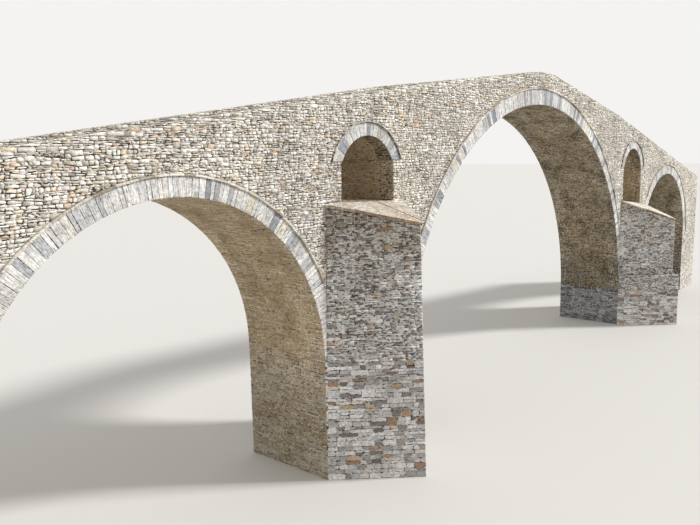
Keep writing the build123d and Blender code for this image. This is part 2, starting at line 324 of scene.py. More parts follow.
@dataclass(frozen=True, kw_only=True)
class Stone(Finish):
    """Local stone in lime mortar: each stone has a tone, a bedding and a patina of its own.

    The tones run from the darkest stones to the palest and to the odd coloured ones. Smear
    is how far the mortar of the joints is wiped over a stone's edges, stain how dark the
    weather has left it, and pits the share of its face that is pitted along the bedding.
    The tint grows from the first height in metres to the second.
    """

    tones: tuple[tuple[float, str], ...]
    mortar: Mortar
    smear: float = 0.35
    stain_colour: str = "#8d857a"
    stain: float = 0.35
    pit_colour: str = "#4a4036"
    pits: float = 0.3
    streak_mm: Pair = (60.0, 12.0)
    contrast: float = 1.0
    tint_from: float = 0.0
    tint_to: float = 0.0
    tint: str = "#ffffff"
    roughness: float = 0.9
    bump_mm: float = 5.0
    bump_strength: float = 0.7

    def layers(self, tree: Tree, place: Socket) -> tuple[Socket, Socket]:
        """Adds the colour and the height of the stones, with mortar wiped over their edges.

        Args:
            tree: The material's node tree.
            place: Object coordinates.

        Returns:
            The colour and the height.
        """
        bedding = add_node(tree, "UVMap", uv_map="bedding").outputs[0]
        tone, heart = (
            add_node(tree, "Attribute", attribute_name=name).outputs["Fac"] for name in ("tone", "heart")
        )
        ramp = add_node(tree, "ValToRGB", {"Fac": tone})
        stops = ramp.color_ramp.elements
        while len(stops) < len(self.tones):
            stops.new(0.5)
        for stop, (position, shade_of_tone) in zip(stops, self.tones):
            stop.position = position
            stop.color = linear(shade_of_tone)

        length, width = self.streak_mm
        pit_length, pit_shift = length * 0.6, length * 0.6 * 31.0 * MM
        streaks = Grain(length, 5.0, (1.0, length / width, 1.0), roughness=0.5).add(tree, bedding)
        pitting = Grain(
            pit_length, 3.0, (1.0, pit_length / width, 1.0), (pit_shift, pit_shift, 0.0), roughness=0.5
        ).add(tree, bedding)
        grains = (MOTTLE, SPECKS, WEATHER, PATINA)
        mottle, specks, weather, patina = (grain.add(tree, place) for grain in grains)

        colour = ramp.outputs[0]
        swing = 0.3 * self.contrast
        for layer in (streaks, mottle, specks):
            colour = shade(tree, colour, layer, span=(0.28, 0.72), levels=(1 - swing, 1 + swing * 0.7))
        colour = shade(tree, colour, patina, span=(0.35, 0.65), levels=(1 - self.stain * 0.3, 1.08))
        stain, shares = linear(self.stain_colour), (0.0, self.stain)
        colour = coat(tree, colour, stain, weather, span=(0.42, 0.7), shares=shares, mode="MULTIPLY")
        fewer = self.pits * 0.3
        pit_span = (0.74 - fewer, 0.8 - fewer)
        colour = coat(tree, colour, linear(self.pit_colour), pitting, pit_span, shares=(0.0, 0.85))
        if self.tint_from != self.tint_to:
            height = add_node(tree, "SeparateXYZ", {0: place}).outputs["Z"]
            wander = stretched(weather, (0.3, 0.7), (-0.5, 0.5))
            ragged = add_node(tree, "MapRange", wander, interpolation_type="SMOOTHSTEP").outputs[0]
            ragged = add_node(tree, "Math", {0: height, 1: ragged}).outputs[0]
            heights = (self.tint_from, self.tint_to)
            colour = coat(tree, colour, linear(self.tint), ragged, heights, mode="MULTIPLY")
        # Mortar is wiped over each stone's edges and sides, and with it the painted shadow of the washed-out
        # gaps
        edge = add_node(tree, "Math", {0: heart, 1: mottle}).outputs[0]
        wiped = (self.smear + 0.35, self.smear + 0.75)
        colour = coat(tree, colour, self.mortar.colour(tree, place), edge, wiped, shares=(1.0, 0.0))

        rough = add_node(tree, "Math", {0: streaks, 1: specks}).outputs[0]
        holes = stretched(pitting, (0.7 - fewer, 0.85 - fewer), (0.0, 1.0))
        hollow = add_node(tree, "MapRange", holes, interpolation_type="SMOOTHSTEP").outputs[0]
        return colour, add_node(tree, "Math", {0: rough, 1: hollow}, operation="SUBTRACT").outputs[0]


# Sandy lime: a pale grainy line between stones where it is full, and the painted shadow of a deep gap where
# rain has washed it out
LIME = Mortar(name="lime_mortar", pale="#ded7cb", gap_shadow="#3d342b", washed_out_shade=0.52)
OCHRE_LIME = Mortar(name="ochre_mortar", pale="#c4b292", gap_shadow="#4d3d2a", washed_out_shade=0.42)
BROWN_LIME = Mortar(name="brown_mortar", pale="#c0af92", gap_shadow="#352b20", washed_out_shade=0.51)
GREY_LIME = Mortar(name="grey_mortar", pale="#e2dfd9", gap_shadow="#3f3934", washed_out_shade=0.49)

# Pale grey and cream limestone rubble, with a few rusty and bluish stones
WALL_STONE = Stone(
    name="rubble_limestone",
    tones=(
        (0.0, "#a89f90"), (0.12, "#cbc4b6"), (0.3, "#e0dacf"), (0.6, "#eeeae1"),
        (0.84, "#f7f4ee"), (0.91, "#e9d4b3"), (0.96, "#dfc2aa"), (1.0, "#bbbec4"),
    ),
    mortar=LIME,
)
# Greyer and more mixed, darker and browner towards the top
PIER_STONE = Stone(
    name="pier_rubble",
    tones=(
        (0.0, "#7d7672"), (0.15, "#a6a19e"), (0.35, "#ceccca"), (0.6, "#e8e6e5"),
        (0.86, "#f6f4f2"), (0.92, "#d6b897"), (0.96, "#9c7f6b"), (1.0, "#a7aebb"),
    ),
    mortar=GREY_LIME,
    stain=0.4,
    tint_from=2.9,
    tint_to=4.4,
    tint="#c6baa8",
)
# Dressed limestone, bluish grey to white, streaked along its beds
RING_STONE = Stone(
    name="dressed_limestone",
    tones=(
        (0.0, "#92969d"), (0.12, "#b5b7bb"), (0.25, "#cfcecb"), (0.7, "#dfddd8"),
        (0.93, "#edebe6"), (1.0, "#dacfb9"),
    ),
    mortar=LIME,
    smear=0.2,
    stain=0.4,
    pit_colour="#50535b",
    pits=0.52,
    streak_mm=(160.0, 9.0),
    bump_mm=3.0,
)
# Split slabs, with clean edges
HOOD_STONE = Stone(
    name="hood_slabs",
    tones=((0.0, "#9d9182"), (0.35, "#c2b9aa"), (0.7, "#ddd5c8"), (1.0, "#ede7dc")),
    mortar=LIME,
    smear=0.0,
)
# Broad split slabs, weathered pale on top and rusty brown at the edges
CAP_STONE = Stone(
    name="cap_slabs",
    tones=((0.0, "#967a60"), (0.18, "#b59b80"), (0.34, "#d5c8b5"), (0.6, "#e2dacd"), (1.0, "#eeeae2")),
    mortar=LIME,
    smear=0.0,
    stain=0.45,
    stain_colour="#a98c70",
    pits=0.4,
    contrast=1.5,
    streak_mm=(140.0, 20.0),
)
# Stones under a vault, smeared with ochre mortar and bleached towards the water
VAULT_STONE = Stone(
    name="vault_rubble",
    tones=((0.0, "#b8a183"), (0.25, "#d0ba99"), (0.55, "#e0cdaf"), (0.85, "#e9dcc4"), (1.0, "#d6cab9")),
    mortar=OCHRE_LIME,
    smear=0.85,
    stain=0.6,
    stain_colour="#9a7d5a",
    pit_colour="#3f3224",
    pits=0.55,
    tint_from=2.3,
    tint_to=0.9,
    tint="#d3dbe8",
)
# The same with less mortar left: browner, darker and more pitted
BROWN_STONE = Stone(
    name="brown_vault_rubble",
    tones=((0.0, "#9f8d70"), (0.25, "#c0ad8d"), (0.55, "#d6c5a6"), (0.85, "#e3d6bd"), (1.0, "#c8bfb2")),
    mortar=BROWN_LIME,
    smear=0.6,
    stain=0.8,
    stain_colour="#7c6c56",
    pit_colour="#2d251c",
    pits=0.75,
    tint_from=2.2,
    tint_to=0.6,
    tint="#b9bfcb",
)
# Dark grey stones for the right pier's sides under the arches: partly damp from the water, partly painted
# shade
DAMP_AND_SHADED_STONE = Stone(
    name="damp_and_shaded_pier_sides",
    tones=((0.0, "#62636a"), (0.4, "#85868c"), (0.8, "#a3a3a6"), (1.0, "#b6b2ac")),
    mortar=BROWN_LIME,
    smear=0.4,
    stain=0.5,
)
# Cobbles, worn and dusty grey
ROAD_STONE = Stone(
    name="road_cobbles",
    tones=((0.0, "#958c7e"), (0.4, "#b7af9f"), (0.75, "#ccc5b8"), (1.0, "#e0dacf")),
    mortar=GREY_LIME,
    smear=0.4,
)


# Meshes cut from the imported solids


def append(target: BMesh, part: BMesh) -> None:
    """Adds a mesh to another and frees it.

    Args:
        target: What grows.
        part: What is added.
    """
    mesh = bpy.data.meshes.new("part")
    part.to_mesh(mesh)
    part.free()
    target.from_mesh(mesh)
    bpy.data.meshes.remove(mesh)


def take(faces: Iterable[BMFace]) -> BMesh:
    """Copies some faces into a mesh of their own.

    Args:
        faces: The faces, all of one mesh.

    Returns:
        The copy.
    """
    copy = bmesh.new()
    verts: dict[BMVert, BMVert] = {}
    for face in faces:
        for vert in face.verts:
            if vert not in verts:
                verts[vert] = copy.verts.new(vert.co)
        copy.faces.new([verts[vert] for vert in face.verts])
    copy.normal_update()
    return copy


def cut(bm: BMesh, faces: Iterable[BMFace], point: Vector, normal: Vector) -> list[BMFace]:
    """Cuts faces by a plane.

    Args:
        bm: Their mesh.
        faces: What to cut.
        point: A point of the plane.
        normal: The plane's normal.

    Returns:
        The faces on both sides.
    """
    chosen = set(faces)
    geometry = list(chosen)
    geometry += {edge for face in chosen for edge in face.edges}
    geometry += {vert for face in chosen for vert in face.verts}
    result = bmesh.ops.bisect_plane(bm, geom=geometry, dist=ON_PLANE, plane_co=point, plane_no=normal)
    return [item for item in result["geom"] if isinstance(item, BMFace)]


def merge_flat(bm: BMesh) -> None:
    """Joins the faces of a mesh that lie in one plane."""
    bmesh.ops.remove_doubles(bm, verts=bm.verts[:], dist=0.2 * MM)
    bmesh.ops.dissolve_limit(bm, angle_limit=math.radians(1.0), verts=bm.verts[:], edges=bm.edges[:])


def reach(part: BMesh | BMFace, along: Vector) -> Pair:
    """Gives the lowest and highest place of a mesh or a face along a direction."""
    places = [vert.co.dot(along) for vert in part.verts]
    return min(places), max(places)


def middle_of(points: Sequence[Vector]) -> Vector:
    """Gives the mean of some points."""
    return sum(points[1:], points[0]) / len(points)


def kept_inside(point: Vector, low: Vector, high: Vector) -> Vector:
    """Moves a point into the box between two corners."""
    return Vector([min(max(point[i], low[i]), high[i]) for i in range(3)])


def stone_layers(bm: BMesh) -> tuple[BMLayerItem, BMLayerItem, BMLayerItem]:
    """Adds what the stones' material reads: the faces' tone, the vertices' heart and the bedding."""
    layers = bm.faces.layers.float.new("tone"), bm.verts.layers.float.new("heart")
    return *layers, bm.loops.layers.uv.new("bedding")


# Lines along which masonry is cut into courses


@dataclass(frozen=True)
class Levels:
    """Beds at rising heights along a direction."""

    up: Vector
    heights: Sequence[float]

    def split(self, bm: BMesh) -> None:
        """Cuts a mesh along the beds that cross it.

        Args:
            bm: The mesh.
        """
        low, high = reach(bm, self.up)
        for height in self.heights:
            if low < height < high:
                cut(bm, bm.faces[:], self.up * height, self.up)

    def place(self, point: Vector) -> int:
        """Counts the beds below a point."""
        return bisect_right(self.heights, self.up.dot(point))


@dataclass(frozen=True)
class Arch:
    """The line of an arch's soffit, which is half an ellipse or a segment of a circle."""

    centre: float
    springing: float
    half_span: float
    rise: float
    first: float = 0.0

    def joints(self, rng: Random, low_mm: float, high_mm: float) -> "ArchJoints":
        """Spaces the joints of one ring.

        Args:
            rng: Source of the spacing.
            low_mm: Least width of a voussoir on the soffit.
            high_mm: Greatest width.

        Returns:
            The joints from springing to springing.
        """
        angles = []
        angle = self.first
        mean = (self.half_span + self.rise) / 2
        while True:
            angle += rng.uniform(low_mm, high_mm) * MM / mean
            if angle > math.pi - self.first - low_mm * MM / mean:
                return ArchJoints(self, tuple(angles))
            angles.append(angle)


@dataclass(frozen=True)
class ArchJoints:
    """Joints of an arch, square to its soffit."""

    arch: Arch
    angles: Sequence[float]

    def planes(self) -> list[Cut]:
        """Finds the plane of each joint.

        Returns:
            A point and a normal for each, from the right springing to the left one.
        """
        made = []
        for angle in self.angles:
            right, high = math.cos(angle), math.sin(angle)
            x, z = self.arch.half_span * right, self.arch.rise * high
            along = Vector((-self.arch.half_span * high, 0.0, self.arch.rise * right))
            made.append((Vector((self.arch.centre + x, 0.0, self.arch.springing + z)), along.normalized()))
        return made

    def split(self, bm: BMesh) -> None:
        """Cuts a mesh along the joints, each on its own side of the crown only.

        Args:
            bm: The mesh.
        """
        centre = self.arch.centre
        for point, along in self.planes():
            side = 1 if point.x > centre else -1
            near = [face for face in bm.faces if any((vert.co.x - centre) * side > 0 for vert in face.verts)]
            cut(bm, near, point, along)

    def place(self, point: Vector) -> int:
        """Counts the joints before a point, from the right springing on."""
        right = point.x > self.arch.centre
        return sum(
            (point - joint).dot(along) > 0 if (joint.x > self.arch.centre) == right else not right
            for joint, along in self.planes()
        )


ARCHES = {
    "left_arch": Arch(centre=-9.005, springing=1.955, half_span=2.64, rise=2.68),
    "main_arch": Arch(centre=1.0, springing=1.0, half_span=5.245, rise=5.085),
    "right_arch": Arch(centre=10.33, springing=2.1, half_span=2.14, rise=2.12),
}
RELIEFS = {
    "left_relief": Arch(-5.225, 4.685, 0.7, 0.7, first=math.asin(0.305 / 0.7)),
    "right_relief": Arch(7.0645, 4.32, 0.735, 0.735, first=math.asin(0.225 / 0.735)),
}


class Solids:
    """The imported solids, to tell which faces another solid covers."""

    def __init__(self, nodes: dict[str, bpy.types.Object]) -> None:
        """Builds a search tree for each node.

        Args:
            nodes: The frame's nodes by name.
        """
        self.nodes = nodes
        self.low, self.high = (Vector(corner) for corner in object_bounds())
        self.trees: list[tuple[BVHTree, Vector, Vector]] = []
        for name in nodes:
            bm = self.copy(name)
            self.trees.append((BVHTree.FromBMesh(bm), *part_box(name)))
            bm.free()

    def copy(self, name: str) -> BMesh:
        """Copies the mesh of a node.

        Args:
            name: The node.

        Returns:
            The copy.
        """
        bm = bmesh.new()
        bm.from_mesh(self.nodes[name].data)
        return bm

    def covers(self, point: Vector) -> bool:
        """Tells whether a point lies inside any solid.

        Args:
            point: The point.

        Returns:
            True inside a solid.
        """
        for tree, low, high in self.trees:
            if all(low[i] < point[i] < high[i] for i in range(3)) and self.crossings(tree, point) % 2:
                return True
        return False

    def shows(self, face: BMFace) -> bool:
        """Tells whether any part of a small face is open.

        Args:
            face: The face.

        Returns:
            True when its middle or a corner is open.
        """
        middle = face.calc_center_median()
        places = [middle] + [vert.co.lerp(middle, TOWARDS_MIDDLE) for vert in face.verts]
        return any(not self.covers(place + face.normal * PROBE) for place in places)

    @staticmethod
    def crossings(tree: BVHTree, point: Vector) -> int:
        """Counts the faces over a point.

        Args:
            tree: A solid's search tree.
            point: The point.

        Returns:
            The number, which is odd inside the solid.
        """
        count = 0
        while True:
            hit, _, _, _ = tree.ray_cast(point, SLANT)
            if hit is None:
                return count
            count += 1
            point = hit + SLANT * PAST_FACE

    def open_faces(self, name: str) -> dict[Plane, list[int]]:
        """Finds the flat faces of a node that show, apart from its foot.

        Args:
            name: The node.

        Returns:
            For each plane that shows, the triangles that lie in it.
        """
        planes: dict[Plane, list[int]] = {}
        shown: set[Plane] = set()
        for polygon in self.nodes[name].data.polygons:
            normal = polygon.normal
            if normal.z < -0.9 and polygon.center.z < MM:
                continue
            key = find_plane(planes, (*normal, normal.dot(polygon.center)))
            planes.setdefault(key, []).append(polygon.index)
            if not self.covers(polygon.center + normal * PROBE):
                shown.add(key)
        return {key: planes[key] for key in planes if key in shown}


def find_plane(known: Iterable[Plane], plane: Plane) -> Plane:
    """Gives the known plane that a plane lies in, or the plane itself when it is new."""
    alike = (other for other in known if all(abs(a - b) < SAME_PLANE for a, b in zip(other, plane)))
    return next(alike, plane)


# How stones are laid and shaped


@dataclass(frozen=True)
class Bond:
    """How the stones of one kind of masonry are laid and worked.

    A strip is a run of wall between two beds that go right through. It is broken into
    panels, and each panel into stones, at random places within these limits. Relief is
    how far the stones stand out of their mortar, heave how much they differ in that, lean
    how far their joints are out of square, and chipped the share of corners knocked off.
    Worn stones are shaded round, and dressed ones flat.
    """

    strip_mm: Pair
    panel_mm: Pair
    course_mm: Pair
    length_mm: Pair
    joint_mm: float
    relief_mm: float
    heave_mm: float
    lean: float
    chipped: float
    worn: bool = True


# A limit that no piece of wall reaches, so it stays whole
WHOLE = (9000, 9001)
RUBBLE = Bond((90, 190), (220, 600), (34, 76), (50, 150), 12, 14, 8, lean=0.26, chipped=0.45)
PLAIN = Bond((110, 220), (260, 700), (42, 92), (64, 180), 13, 14, 8, lean=0.2, chipped=0.1)
COURSED = Bond((80, 160), (300, 800), (32, 70), (60, 180), 12, 13, 7, lean=0.16, chipped=0.45)
BLOCKS = Bond((90, 150), (600, 1500), (60, 130), (110, 260), 12, 12, 5, lean=0.06, chipped=0.5, worn=False)
VAULT = Bond(WHOLE, WHOLE, (34, 62), (90, 260), 8, 7, 3, lean=0.08, chipped=0.3, worn=False)
ROUGH = Bond(WHOLE, WHOLE, (36, 68), (75, 210), 11, 12, 7, lean=0.14, chipped=0.2)
VOUSSOIR = Bond(WHOLE, WHOLE, WHOLE, WHOLE, 8, 11, 5, lean=0.0, chipped=0.35, worn=False)
KERB = Bond((40, 70), (300, 700), (34, 60), (70, 210), 9, 11, 8, lean=0.1, chipped=0.3)
PAVING = Bond((100, 140), WHOLE, (70, 141), (90, 210), 11, 9, 5, lean=0.08, chipped=0.1)

# Where a piece of wall is cut, as a share of it, and how far past its limit a panel or a stone stays whole
SPLIT = (0.38, 0.62)
PANEL_SLACK = 1.6
STONE_SLACK = 1.35
# Two sides whose turn has a smaller sine move inwards as one line, or are one straight side
IN_LINE = 0.2
STRAIGHT = 0.03
SHORTEST_SIDE = 0.5 * MM
# A joint's width varies by these shares, and a stone that it leaves smaller than the share is cut to the next
JOINT_SHARES = (0.5, 1.6)
LEAST_SHARE = 0.25
SHRUNK_SHARE = 0.7
# No stone is laid in a smaller gap than this
LEAST_STONE_MM = 18.0
# A stone's foot is wider than its face and goes into the mortar
SPLAY_MM = 2.5
FOOT_MM = 2.0
# How far a stone's face is uneven and tilted, and the least that it stands back
UNEVEN_MM = 2.0
TILT_MM = 1.5
LEAST_DROP_MM = 0.3
# Edges of a slab that are sharper than this are rounded
SHARP_EDGE = math.radians(20)
LEAST_SLAB = 0.02
# How large a corner is knocked off, and the most of a side that goes with it
CHIP_MM = (5.0, 22.0)
CHIP_SHARE = 0.42
# Patterns on two stones start up to this far apart, so that no two look alike
PATTERN_SHIFT = 90


def divide(bm: BMesh, face: BMFace, along: Vector, up: Vector, bond: Bond, rng: Random) -> None:
    """Cuts a strip of wall into panels and these into stones.

    Args:
        bm: A mesh that holds the strip.
        face: The strip.
        along: The direction of the courses.
        up: The direction across them, in the face.
        bond: The limits of panels, courses and lengths.
        rng: Source of the cuts.
    """
    waiting = [face]
    while waiting:
        face = waiting.pop()
        left, right = reach(face, along)
        low, high = reach(face, up)
        length, height = right - left, high - low
        share = rng.uniform(*SPLIT)
        lean = rng.uniform(-bond.lean, bond.lean)
        joint = along * (left + share * length) + up * (low + high) / 2, along + up * lean
        bed = up * (low + share * height) + along * (left + right) / 2, up + along * lean * 0.5
        if length > rng.uniform(*bond.panel_mm) * MM * PANEL_SLACK:
            point, normal = joint
        elif height > rng.uniform(*bond.course_mm) * MM * STONE_SLACK:
            point, normal = bed
        elif length > rng.uniform(*bond.length_mm) * MM * STONE_SLACK:
            point, normal = joint
        else:
            continue
        point = point + face.normal * face.normal.dot(face.verts[0].co)
        halves = cut(bm, [face], point, normal.normalized())
        if len(halves) > 1:
            waiting += halves


def inset(outline: list[Vector], gaps: list[float]) -> list[Vector]:
    """Moves the sides of a flat outline inwards, each by a distance of its own.

    Args:
        outline: Corners in a plane, anticlockwise.
        gaps: How far each side moves, from the one after the first corner on.

    Returns:
        The new corners, in the same order.
    """
    count = len(outline)
    sides = [(outline[(i + 1) % count] - outline[i]).normalized() for i in range(count)]
    made = []
    for i, corner in enumerate(outline):
        before, after = sides[i - 1], sides[i]
        inward_before = Vector((-before.y, before.x)) * gaps[i - 1]
        inward_after = Vector((-after.y, after.x)) * gaps[i]
        turn = before.x * after.y - before.y * after.x
        if abs(turn) < IN_LINE:
            made.append(corner + (inward_before + inward_after) / 2)
            continue
        step = inward_after - inward_before
        made.append(corner + inward_before + before * ((step.x * after.y - step.y * after.x) / turn))
    return made


def area(outline: Sequence[Vector]) -> float:
    """Gives the area of a flat outline, negative where it runs clockwise."""
    return sum(a.x * b.y - a.y * b.x for a, b in pairwise([*outline, outline[0]])) / 2


def straighten(outline: list[Vector]) -> list[Vector]:
    """Drops the corners of an outline that lie on a straight side, or on one another.

    Args:
        outline: Corners in a plane.

    Returns:
        The corners that are left.
    """
    made = []
    for i, corner in enumerate(outline):
        before = corner - (made[-1] if made else outline[-1])
        after = outline[(i + 1) % len(outline)] - corner
        turn = abs(before.x * after.y - before.y * after.x)
        if before.length > SHORTEST_SIDE and turn > STRAIGHT * before.length * after.length:
            made.append(corner)
    return made


def knock_off(face: list[Vector], chipped: float, rng: Random) -> list[Vector]:
    """Knocks some corners off an outline.

    Args:
        face: The outline.
        chipped: Share of the corners to knock off.
        rng: Source of the choice.

    Returns:
        The new outline.
    """
    made = []
    for i, corner in enumerate(face):
        if rng.random() > chipped:
            made.append(corner)
            continue
        for arm in (face[i - 1] - corner, face[(i + 1) % len(face)] - corner):
            made.append(corner + arm.normalized() * min(arm.length * CHIP_SHARE, rng.uniform(*CHIP_MM) * MM))
    return made


class Yard:
    """A mesh of finished stones, with the values that their material reads."""

    def __init__(self) -> None:
        """Starts an empty mesh."""
        self.bm = bmesh.new()
        self.tone, self.heart, self.bedding = stone_layers(self.bm)

    def lay(self, cell: BMFace, along: Vector, up: Vector, bond: Bond, rng: Random) -> None:
        """Shapes the stone of one cell.

        Args:
            cell: The stone's share of the wall's face.
            along: A direction in the face.
            up: The direction across it.
            bond: How the stone is worked.
            rng: Source of its unevenness.
        """
        normal = cell.normal.copy()
        base = normal * normal.dot(cell.verts[0].co)
        outline = [Vector((vert.co.dot(along), vert.co.dot(up))) for vert in cell.verts]
        if area(outline) < 0:
            outline.reverse()
        outline = straighten(outline)
        if len(outline) < 3:
            return
        half = bond.joint_mm * MM / 2
        face = inset(outline, [half * rng.uniform(*JOINT_SHARES) for _ in outline])
        if area(face) < area(outline) * LEAST_SHARE:
            middle = middle_of(outline)
            face = [middle + (corner - middle) * SHRUNK_SHARE for corner in outline]
        top = knock_off(face, bond.chipped, rng)
        middle = middle_of(top)
        sunk = rng.uniform(0.0, bond.heave_mm)
        slope = Vector((rng.uniform(-1, 1), rng.uniform(-1, 1)))
        tone = rng.random()
        offset = Vector((rng.uniform(0, PATTERN_SHIFT), rng.uniform(0, PATTERN_SHIFT)))
        sides = (b - a for a, b in pairwise([*face, face[0]]))
        longest = max(sides, key=lambda side: side.length).normalized()
        upper, lower, places = [], [], []
        for corner in top:
            out = (corner - middle).normalized()
            drop = sunk + rng.uniform(0.0, UNEVEN_MM) + TILT_MM * slope.dot(out)
            drop = min(max(drop, LEAST_DROP_MM), bond.relief_mm - SPLAY_MM) * MM
            foot = corner + out * SPLAY_MM * MM
            sunk_foot = (bond.relief_mm + FOOT_MM) * MM
            upper.append(self.bm.verts.new(base + along * corner.x + up * corner.y - normal * drop))
            lower.append(self.bm.verts.new(base + along * foot.x + up * foot.y - normal * sunk_foot))
            upper[-1][self.heart] = 1.0
            places.append(Vector((corner.dot(longest), corner.x * longest.y - corner.y * longest.x)) + offset)
        flip = along.cross(up).dot(normal) < 0
        made = [self.add(upper, places, tone, flip)]
        for i, here in enumerate(places):
            j = (i + 1) % len(places)
            side = [here, places[j], places[j], here]
            made.append(self.add([lower[i], lower[j], upper[j], upper[i]], side, tone, flip))
        for polygon in made:
            polygon.smooth = bond.worn

    def add(self, corners: list[BMVert], places: list[Vector], tone: float, flip: bool) -> BMFace:
        """Adds one face of a stone.

        Args:
            corners: Its corners.
            places: Their coordinates along and across the bedding.
            tone: The stone's tone.
            flip: Whether the corners run clockwise.

        Returns:
            The face.
        """
        if flip:
            corners, places = corners[::-1], places[::-1]
        face = self.bm.faces.new(corners)
        face[self.tone] = tone
        for loop, place in zip(face.loops, places):
            loop[self.bedding].uv = place
        return face


@dataclass
class Face:
    """Everything that lies in one plane, from one or more nodes."""

    normal: Vector
    bm: BMesh = field(default_factory=bmesh.new)

    @property
    def along(self) -> Vector:
        """The level direction in the face, or across the bridge under a vault."""
        level = Vector((-self.normal.y, self.normal.x, 0.0))
        return ACROSS.copy() if abs(self.normal.y) < 0.1 else level.normalized()

    @property
    def up(self) -> Vector:
        """The direction across the courses."""
        up = self.normal.cross(self.along)
        return -up if up.z < -1e-6 else up


@dataclass
class Masonry:
    """Stones on the open faces of some nodes, and the mortar beds that stand for these nodes.

    Faces that look inwards are a second piece on nodes whose beds come with the outward one.
    Below low_top the stones are big squared blocks.
    """

    name: str
    nodes: tuple[str, ...]
    bond: Bond
    stone: Stone
    slot: str
    seed: int
    outlook: Outlook = Outlook.ALL
    joints: ArchJoints | None = None
    low_top: float = 0.0
    mortar: Mortar | None = None

    def bond_at(self, place: Vector) -> Bond:
        """Gives the bond at a place."""
        return BLOCKS if place.z < self.low_top else self.bond

    def gather(self, solids: Solids) -> dict[Plane, Face]:
        """Collects the open faces of the nodes by the plane that they lie in.

        Args:
            solids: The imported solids.

        Returns:
            The faces of each plane.
        """
        found: dict[Plane, Face] = {}
        for name in self.nodes:
            source = solids.copy(name)
            source.faces.ensure_lookup_table()
            for key, indices in solids.open_faces(name).items():
                if self.outlook.takes(key):
                    faces = [source.faces[i] for i in indices]
                    plane = found.setdefault(find_plane(found, key), Face(faces[0].normal.copy()))
                    append(plane.bm, take(faces))
            source.free()
        return found

    def cells(self, plane: Face, rng: Random) -> BMesh:
        """Cuts what lies in one plane into loose cells, one for each stone.

        Args:
            plane: The faces.
            rng: Source of the cuts.

        Returns:
            The cells.
        """
        along, up = plane.along, plane.up
        courses: Levels | ArchJoints | None = self.joints
        if courses is None:
            height, top = reach(plane.bm, up)
            heights = []
            while height < top:
                height += rng.uniform(*self.bond_at(up * height).strip_mm) * MM
                heights.append(height)
            courses = Levels(up, heights)
        courses.split(plane.bm)
        strips: dict[int, list[BMFace]] = {}
        for face in plane.bm.faces:
            strips.setdefault(courses.place(face.calc_center_median()), []).append(face)
        total = bmesh.new()
        for _, faces in sorted(strips.items()):
            strip = take(faces)
            merge_flat(strip)
            for face in strip.faces[:]:
                divide(strip, face, along, up, self.bond_at(face.calc_center_median()), rng)
            inner = [edge for edge in strip.edges if len(edge.link_faces) > 1]
            bmesh.ops.split_edges(strip, edges=inner)
            append(total, strip)
        plane.bm.free()
        return total

    def stones(self, solids: Solids) -> BMesh:
        """Lays the stones on every open face.

        Args:
            solids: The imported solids.

        Returns:
            All the stones.
        """
        yard = Yard()
        for number, (_, plane) in enumerate(sorted(self.gather(solids).items())):
            rng = Random(self.seed * 1000 + number)
            along, up = plane.along, plane.up
            bm = self.cells(plane, rng)
            for face in bm.faces:
                if face.calc_area() > (LEAST_STONE_MM * MM) ** 2 and solids.shows(face):
                    yard.lay(face, along, up, self.bond_at(face.calc_center_median()), rng)
            bm.free()
        for vert in yard.bm.verts:
            vert.co = kept_inside(vert.co, solids.low, solids.high)
        return yard.bm

    def build(self, solids: Solids) -> None:
        """Makes the stones and the beds, and dresses them.

        Args:
            solids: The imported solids.
        """
        finish_piece(self.stones(solids), self.name + "_stones", self.stone)
        if self.outlook is Outlook.INWARDS:
            return
        for name in self.nodes:
            bed = mortar_bed(solids, name, self.bond.relief_mm * MM)
            piece = finish_piece(bed, name + "_bed", self.mortar or self.stone.mortar)
            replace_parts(piece, name)


def mortar_bed(solids: Solids, name: str, depth: float) -> BMesh:
    """Copies a node and moves its open faces inwards.

    Args:
        solids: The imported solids.
        name: The node.
        depth: How far the open faces go in.

    Returns:
        The bed.
    """
    open_planes = set(solids.open_faces(name))
    bm = solids.copy(name)
    bmesh.ops.remove_doubles(bm, verts=bm.verts[:], dist=0.05 * MM)
    moves = {}
    planes: dict[BMFace, Plane] = {}
    for face in bm.faces:
        if face.calc_area() > 1e-9:
            planes[face] = find_plane(open_planes, (*face.normal, face.normal.dot(face.verts[0].co)))
    for vert in bm.verts:
        rows: dict[Plane, float] = {}
        for face in vert.link_faces:
            if face in planes:
                plane = find_plane(rows, planes[face])
                rows[plane] = max(rows.get(plane, 0.0), depth if planes[face] in open_planes else 0.0)
        if any(rows.values()):
            normals = np.array([plane[:3] for plane in rows])
            wanted = -np.array(list(rows.values()))
            moves[vert] = Vector(np.linalg.lstsq(normals, wanted, rcond=0.02)[0])
    for vert, step in moves.items():
        vert.co += step
    return bm


def blocks(bm: BMesh, planes: Iterable[Cut]) -> list[BMesh]:
    """Cuts a closed mesh into closed blocks.

    Args:
        bm: The mesh, which is used up.
        planes: The cuts in order, each with its normal towards what is still whole.

    Returns:
        The blocks.
    """
    made = []
    for point, normal in planes:
        piece = bm.copy()
        for half, sides in ((piece, {"clear_outer": True}), (bm, {"clear_inner": True})):
            geometry = half.verts[:] + half.edges[:] + half.faces[:]
            bmesh.ops.bisect_plane(
                half, geom=geometry, dist=ON_PLANE, plane_co=point, plane_no=normal, **sides
            )
            rim = [edge for edge in half.edges if edge.is_boundary]
            if rim:
                bmesh.ops.holes_fill(half, edges=rim, sides=0)
        made.append(piece)
    made.append(bm)
    return [block for block in made if block.faces]


